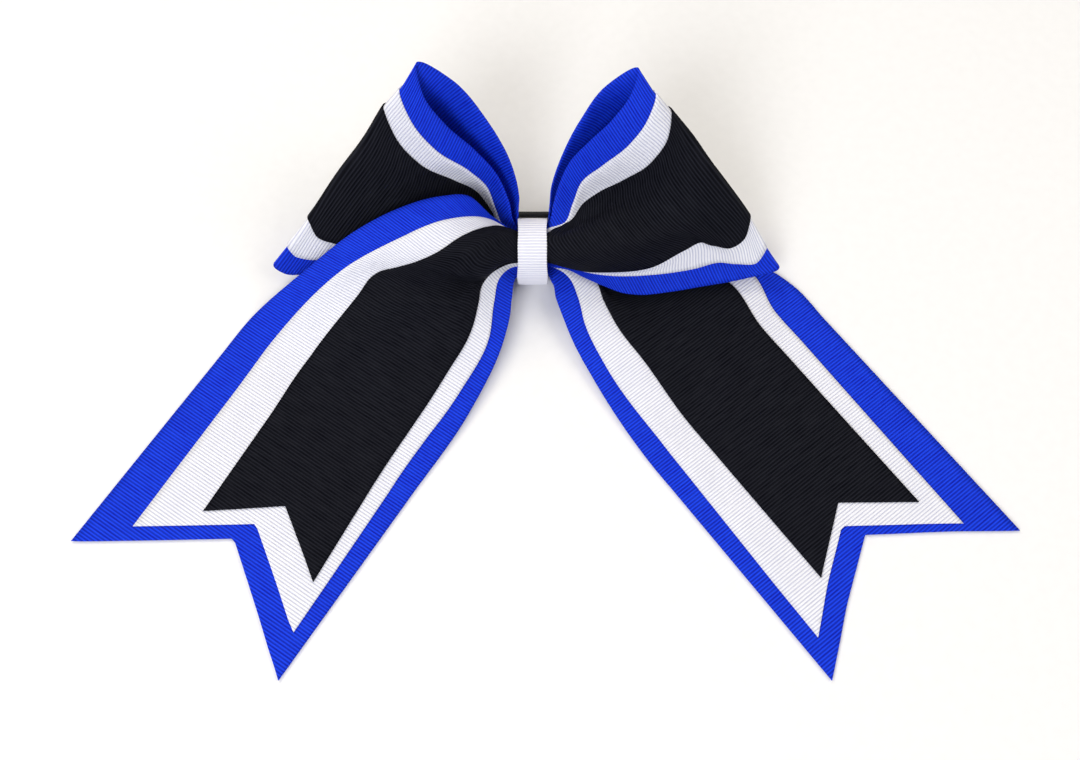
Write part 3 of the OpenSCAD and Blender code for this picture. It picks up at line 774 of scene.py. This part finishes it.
def pleats(y, z, rise, folds, rows_x):
    """Grid of a gathered ribbon: it runs along X and folds up and down across Y."""
    fold = np.arange(-folds * FOLD_STEPS, folds * FOLD_STEPS + 1) / FOLD_STEPS
    wave = rise * (0.5 + 0.5 * np.cos(math.pi * fold))
    flare = 1 + PLEAT_FLARE * (rows_x / GATHER_HALF) ** 2
    yy = y + PLEAT_HALF_PITCH * fold[None, :] * flare[:, None]
    zz = z + wave[None, :] * np.ones_like(flare)[:, None]
    xx = np.repeat(rows_x[:, None], len(fold), axis=1)
    return np.stack([xx, yy, zz], 2), yy - y


def gathers(layer):
    """The three crossings of one ribbon inside the wrap, as one mesh."""
    folds = 4 - layer
    rows_x = np.arange(-GATHER_HALF, GATHER_HALF, ROW_STEP)
    # Each band: middle in Y, lowest Z, height of its folds, their number, thickness
    bands = [(KNOT_Y, 13 + 1.25 * layer, 2.8, folds, 0.3),
             (4.8, 8.75 + 0.75 * (BLACK - layer), 1.3, folds, 0.25),
             (1.5, 5.05 + 0.75 * layer, 1.3, folds - 1, 0.25)]
    parts = []
    for y, z, rise, count, thickness in bands:
        points, v = pleats(y, z, rise, count, rows_x)
        u = np.repeat(rows_x[:, None] + GATHER_U, v.shape[1], axis=1)
        kept = np.ones((len(rows_x) - 1, v.shape[1] - 1), bool)
        parts.append(sheet("band", points, u, v, kept, 0, 1, thickness))
    return joined(f"{LAYER_NAMES[layer]}_pleats", parts)


def joined(name, parts):
    """One object holding the meshes of all parts, which it takes the place of."""
    bm = bmesh.new()
    for part in parts:
        bm.from_mesh(part.data)
    mesh = bpy.data.meshes.new(name)
    bm.to_mesh(mesh)
    bm.free()
    for part in parts:
        bpy.data.objects.remove(part)
    mesh.shade_smooth()
    return linked(name, mesh)


def ring_mesh(name, rings):
    """Closed mesh of a ring-shaped tube: a grid of points that closes both ways."""
    rows, cols = rings.shape[:2]
    i, j = np.indices((rows, cols))
    a = i * cols + j
    b = i * cols + (j + 1) % cols
    c = (i + 1) % rows * cols + (j + 1) % cols
    d = (i + 1) % rows * cols + j
    faces = np.stack([a, b, c, d], -1).reshape(-1, 4)
    obj = new_mesh(name, rings.reshape(-1, 3), faces)
    bm = bmesh.new()
    bm.from_mesh(obj.data)
    bmesh.ops.recalc_face_normals(bm, faces=bm.faces)
    bm.to_mesh(obj.data)
    bm.free()
    return obj


def around(sides):
    """Angles of evenly spaced points round a circle."""
    return np.linspace(0, 2 * math.pi, sides, endpoint=False)


def tube_rings(path, radius):
    """Rings of points round a closed flat path, radius being a grid of rows by sides."""
    along = unit(np.roll(path, -1, axis=0) - np.roll(path, 1, axis=0))
    third = len(path) // 3
    up = unit(np.cross(path[third] - path[0], path[2 * len(path) // 3] - path[0]))
    out = unit(np.cross(along, up))
    angle = around(radius.shape[1])[None, :, None]
    return (path[:, None, :]
            + radius[..., None] * (np.cos(angle) * out[:, None, :] + np.sin(angle) * up))


BEND_DEGREES = 3


def rounded_path(half_a, half_b, bend, step):
    """Closed rounded rectangle in a plane, sampled evenly: points (a, b) and their distances."""
    corners = [(half_a - bend, half_b - bend, 0), (bend - half_a, half_b - bend, 90),
               (bend - half_a, bend - half_b, 180), (half_a - bend, bend - half_b, 270)]
    dense = []
    for a, b, start in corners:
        for degree in range(0, 90 + 1, BEND_DEGREES):
            turn = math.radians(start + degree)
            dense.append((a + bend * math.cos(turn), b + bend * math.sin(turn)))
    dense.append(dense[0])
    dense = np.array(dense)
    run = run_lengths(dense)
    even = np.linspace(0, run[-1], int(run[-1] / step) + 1)[:-1]
    return np.stack([np.interp(even, run, dense[:, 0]), np.interp(even, run, dense[:, 1])], 1), even


THREAD_R = 0.25
THREAD_PITCH = 2.4
THREAD_HALF_Y = 8
THREAD_LOW = 4.3
THREAD_HIGH = 19.6
THREAD_BEND = 5.5
THREAD_STEP = 0.12
THREAD_SIDES = 12
# Length of a full twist of the two plies, how far they stand out, and the turns' sway
PLY_TWIST = 1.1
PLY_RELIEF = 0.14
THREAD_SWAY = 0.12


def cinch_thread():
    """Three turns of two-ply thread pulled tight round the gathers."""
    turns = []
    for turn in (-1, 0, 1):
        path, run = rounded_path(THREAD_HALF_Y, (THREAD_HIGH - THREAD_LOW) / 2, THREAD_BEND,
                                 THREAD_STEP)
        count = round(run[-1] / PLY_TWIST)
        twist = 2 * math.pi * count * run / (run[-1] + THREAD_STEP)
        sway = THREAD_SWAY * np.sin(2 * math.pi * run / run[-1] + turn)
        points = np.stack([turn * THREAD_PITCH + sway, KNOT_Y + path[:, 0],
                           (THREAD_LOW + THREAD_HIGH) / 2 + path[:, 1]], 1)
        ply = np.cos(2 * around(THREAD_SIDES)[None, :] - twist[:, None])
        radius = THREAD_R * (1 - PLY_RELIEF + PLY_RELIEF * ply)
        turns.append(ring_mesh("turn", tube_rings(points, radius)))
    return joined("cinch_thread_turns", turns)


# The elastic's held strand and free strand, and the ring between their middles
STRAND_Y = 2.1
STRAND_Z = 2.1
FREE_STRAND_Z = 1.6
CORD_R = 1
RING_LENGTH = 46
RING_GAP = 17
GLUE_HALF_X = 4.1
GLUE_HALF_Y = 3.4
GLUE_LOW = 0.76
GLUE_HIGH = 3.85
GLUE_SIDES = 64
GLUE_STATIONS = 41
GLUE_CORNER = 0.5
GLUE_LEAST_WALL = 0.12
# The tunnel for the held strand, and how far its mouth is set in from the glue's ends
TUNNEL_R = 1.07
TUNNEL_INSET = 0.03


def glue_swell(s, angle):
    """Share of the blob's size at s (-1 to 1) along it: blunt ends and a lumpy skin."""
    ends = (1 - 0.75 * abs(s) ** 9) * (1 - 0.03 * math.sin(5 * s + 1))
    return ends * (0.965 + 0.02 * np.sin(3 * angle + 4 * s) + 0.015 * np.sin(7 * angle - 6 * s))


def hot_glue():
    """Blob of glue squeezed between the wrap and the gathers, round the held strand."""
    angle = around(GLUE_SIDES)
    mid_z = (GLUE_LOW + GLUE_HIGH) / 2
    stations = np.linspace(-1, 1, GLUE_STATIONS)
    outside = []
    for s in stations:
        swell = glue_swell(s, angle)
        y = GLUE_HALF_Y * swell * signed_power(np.cos(angle), GLUE_CORNER)
        z = mid_z + (GLUE_HIGH - mid_z) * swell * signed_power(np.sin(angle), GLUE_CORNER) - STRAND_Z
        reach = np.hypot(y, z)
        least = np.maximum(reach, TUNNEL_R + GLUE_LEAST_WALL) / reach
        outside.append(np.stack([np.full(GLUE_SIDES, s * GLUE_HALF_X), STRAND_Y + y * least,
                                 STRAND_Z + z * least], 1))
    inside = [np.stack([np.full(GLUE_SIDES, s * (GLUE_HALF_X - TUNNEL_INSET)),
                        STRAND_Y + TUNNEL_R * np.cos(angle),
                        STRAND_Z + TUNNEL_R * np.sin(angle)], 1) for s in stations[::-1]]
    return ring_mesh("hot_glue_blob", np.array(outside + inside))


def elastic_frame(points):
    """Places the elastic's drawing, with its held strand along X through the origin."""
    tilt = -math.atan2(STRAND_Z - FREE_STRAND_Z, RING_GAP)
    y, z = points[..., 1], points[..., 2]
    return np.stack([points[..., 0], STRAND_Y + y * math.cos(tilt) - z * math.sin(tilt),
                     STRAND_Z + y * math.sin(tilt) + z * math.cos(tilt)], -1)


CORD_STEP = 0.16
CORD_SIDES = 36
# Length of one turn of the braid, the strands side by side in it, and how far they stand out
BRAID_TURN = 3.2
BRAID_STRANDS = 6
BRAID_RELIEF = 0.045
# The ring's bends are this much tighter than half circles, so that its path stays a rectangle
RING_BEND_GAP = 0.01


def hair_elastic():
    """Braided cord: two sets of strands wind round it in opposite ways."""
    path, run = rounded_path(RING_LENGTH / 2, RING_GAP / 2, RING_GAP / 2 - RING_BEND_GAP, CORD_STEP)
    total = run[-1] + CORD_STEP
    braids = round(total / BRAID_TURN)
    strand = BRAID_STRANDS * around(CORD_SIDES)[None, :]
    turn = (2 * math.pi * braids * run / total)[:, None]
    relief = np.maximum(np.sin(strand + turn * 2), np.sin(strand - turn * 2))
    radius = CORD_R * (1 - BRAID_RELIEF + BRAID_RELIEF * relief)
    points = np.stack([path[:, 0], RING_GAP / 2 + path[:, 1], 0 * run], 1)
    return ring_mesh("braided_elastic", elastic_frame(tube_rings(points, radius)))


SLEEVE_X = 11.5
SLEEVE_HALF = 2.5
SLEEVE_R = 1.48
SLEEVE_SIDES = 40
SLEEVE_CLEARANCE = 0.09
SLEEVE_MOUTH = 0.05
RIM_DROP = 0.3
CRIMP_DEPTH = 0.06
CRIMP_SHARE = 0.18


def elastic_sleeve():
    """Sleeve shrunk over the cord's two ends, with rounded rims and a crimped middle."""
    angle = around(SLEEVE_SIDES)
    profile = []
    for s in np.linspace(-1, 1, 33):
        rim = SLEEVE_R - RIM_DROP * abs(s) ** 8
        profile.append((s * SLEEVE_HALF, rim - CRIMP_DEPTH * math.exp(-(s / CRIMP_SHARE) ** 2)))
    for s in np.linspace(1, -1, 9):
        profile.append((s * (SLEEVE_HALF - SLEEVE_MOUTH), CORD_R + SLEEVE_CLEARANCE))
    rings = np.array([np.stack([np.full(SLEEVE_SIDES, SLEEVE_X + x), RING_GAP + r * np.cos(angle),
                                r * np.sin(angle)], 1) for x, r in profile])
    return ring_mesh("elastic_sleeve_tube", elastic_frame(rings))


# Colour, painted groove shade, painted crown highlight, then sheen, roughness and specular
WRAP_FINISH = grosgrain("wrap_grosgrain", (0.93, 0.93, 0.96), (0.7, 0.7, 0.82),
                        (0.96, 0.96, 0.97), 0.03, 0.65, 0.2)
THREAD = plastic("waxed_thread", (0.72, 0.69, 0.58), (0.5, 0.47, 0.38), 0.55, 900, 0.00005)
GLUE = plastic("set_glue", (0.75, 0.68, 0.48), (0.6, 0.52, 0.34), 0.3, 260, 0.00015, 0.4)
CORD = plastic("braided_cord", (0.012, 0.012, 0.015), (0.004, 0.004, 0.005), 0.65, 1800, 0.00006)
SLEEVE = plastic("shrunk_sleeve", (0.016, 0.016, 0.018), (0.009, 0.009, 0.01), 0.35, 420, 0.00004)

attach(finish_piece(wrap_strip(), WRAP_FINISH, "centre_wrap"), "knot")
for layer in LAYERS:
    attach(finish_ribbon(gathers(layer), layer, "gather"), "knot")
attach(finish_piece(cinch_thread(), THREAD, "cinch_thread"), "knot")
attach(finish_piece(hot_glue(), GLUE, "hot_glue"), "knot")
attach(finish_piece(hair_elastic(), CORD, "hair_elastic"), "hair_elastic")
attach(finish_piece(elastic_sleeve(), SLEEVE, "elastic_sleeve"), "hair_elastic")

# --- Floor, light and camera ---

FLOOR_Z = -0.0001
FLOOR_HALF = 1.6


def floor():
    """A plain pale floor, just under the bow."""
    mesh = bpy.data.meshes.new("floor")
    corners = [(-FLOOR_HALF, -FLOOR_HALF, FLOOR_Z), (FLOOR_HALF, -FLOOR_HALF, FLOOR_Z),
               (FLOOR_HALF, FLOOR_HALF, FLOOR_Z), (-FLOOR_HALF, FLOOR_HALF, FLOOR_Z)]
    mesh.from_pydata(corners, [], [(0, 1, 2, 3)])
    n = Nodes("pale_floor")
    place = n.add("ShaderNodeTexCoord").outputs["Object"]
    grain = n.noise(place, 300, 3.0)
    n.link(n.mix(n.ramp(grain, 0.3, 0.7), (0.90, 0.895, 0.88, 1), (0.92, 0.915, 0.90, 1)),
           n.shader.inputs["Base Color"])
    n.shader.inputs["Roughness"].default_value = 0.8
    mesh.materials.append(n.material)
    return linked("floor", mesh)


LIGHT_SIZE = 0.5


def area_light(name, place, power, colour):
    """A square soft light at a place in metres, aimed at the knot, with its power in watts."""
    lamp = bpy.data.lights.new(name, "AREA")
    lamp.shape = "SQUARE"
    lamp.size = LIGHT_SIZE
    lamp.energy = power
    lamp.color = colour
    obj = linked(name, lamp)
    obj.location = place
    obj.rotation_euler = (-mathutils.Vector(place)).to_track_quat("-Z", "Y").to_euler()


# The camera looks down at the bow from its lower side, tilted back from straight down
CAMERA_PLACE = (0.00231, -0.16373, 0.34769)
CAMERA_TILT = 20
CAMERA_LENS = 40
SENSOR = 36


def camera():
    """The scene's camera, at the place and tilt above."""
    data = bpy.data.cameras.new("camera")
    data.lens = CAMERA_LENS
    data.sensor_width = SENSOR
    data.clip_start = 0.01
    obj = linked("camera", data)
    obj.location = CAMERA_PLACE
    obj.rotation_euler = (math.radians(CAMERA_TILT), 0, 0)
    bpy.context.scene.camera = obj


WARM_SKY = (1.0, 0.92, 0.76)
COOL_SKY = (0.86, 0.86, 1.0)
SKY_STRENGTH = 0.38
# The sky turns from cool to warm as its direction's Y goes from -SKY_FADE to SKY_FADE
SKY_FADE = 0.7


def studio_sky():
    """Even sky, warm behind the bow and cool in front of it."""
    world = bpy.data.worlds.new("studio")
    world.use_nodes = True
    tree = world.node_tree
    place = tree.nodes.new("ShaderNodeTexCoord")
    split = tree.nodes.new("ShaderNodeSeparateXYZ")
    tree.links.new(place.outputs["Generated"], split.inputs[0])
    share = tree.nodes.new("ShaderNodeMapRange")
    tree.links.new(split.outputs["Y"], share.inputs["Value"])
    share.inputs["From Min"].default_value = -SKY_FADE
    share.inputs["From Max"].default_value = SKY_FADE
    mix = tree.nodes.new("ShaderNodeMix")
    mix.data_type = "RGBA"
    tree.links.new(share.outputs["Result"], mix.inputs[MIX_FACTOR])
    mix.inputs[MIX_A].default_value = rgba(COOL_SKY)
    mix.inputs[MIX_B].default_value = rgba(WARM_SKY)
    back = tree.nodes["Background"]
    tree.links.new(mix.outputs[MIX_RESULT], back.inputs["Color"])
    back.inputs["Strength"].default_value = SKY_STRENGTH
    bpy.context.scene.world = world


floor()
area_light("front", (-0.33, -0.65, 0.6), 5, (0.93, 0.95, 1.0))
area_light("back", (-0.4, 0.5, 0.7), 4.3, (1.0, 0.96, 0.88))
area_light("right", (0.65, 0, 0.6), 2.2, (1.0, 0.98, 0.95))
camera()
studio_sky()
bpy.context.scene.view_settings.view_transform = "Standard"
